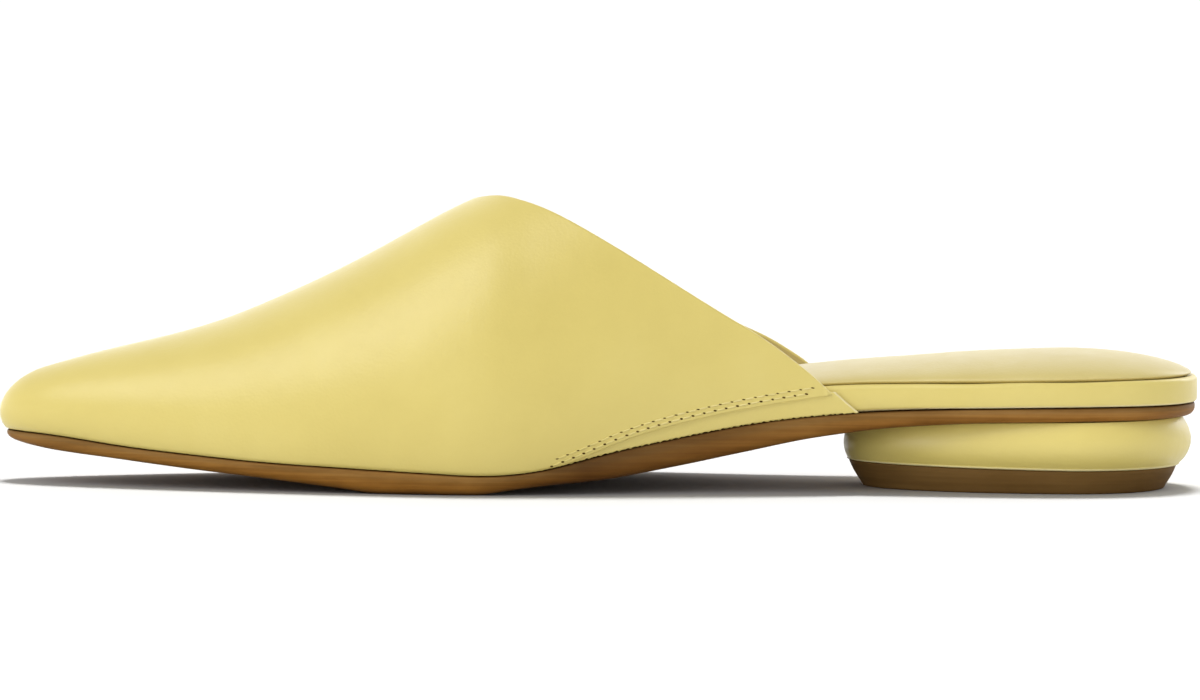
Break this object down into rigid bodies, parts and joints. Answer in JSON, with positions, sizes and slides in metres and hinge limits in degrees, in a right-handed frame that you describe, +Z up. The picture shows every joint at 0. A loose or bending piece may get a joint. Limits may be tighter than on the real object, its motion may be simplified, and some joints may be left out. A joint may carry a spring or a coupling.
{
  "type": "mule shoe",
  "caption": "Pointed-toe leather mule with a high plain vamp, padded sock, thin leather sole and a low oval heel: a leather-covered roll over a dark top lift",
  "frame": {"origin": "on the floor, under the centre of the shoe's bounding box", "axes": "+Z up; the toe points along -X and the heel along +X; the inner side of the foot faces -Y"},
  "size_m": [0.27, 0.0789, 0.0655],
  "materials": {
    "yellow_leather": "smooth satin grain",
    "sock_leather": "soft matte grain",
    "sole_leather": "waxed edge",
    "lift_rubber": "matte"
  },
  "bodies": {
    "root": {"outsole": "sole_leather", "footbed": "yellow_leather", "sock_pad": "sock_leather", "vamp": "yellow_leather", "side_strip_inner": "yellow_leather", "side_strip_outer": "yellow_leather", "heel_roll": "yellow_leather", "heel_lift": "lift_rubber"}
  },
  "joints": []
}
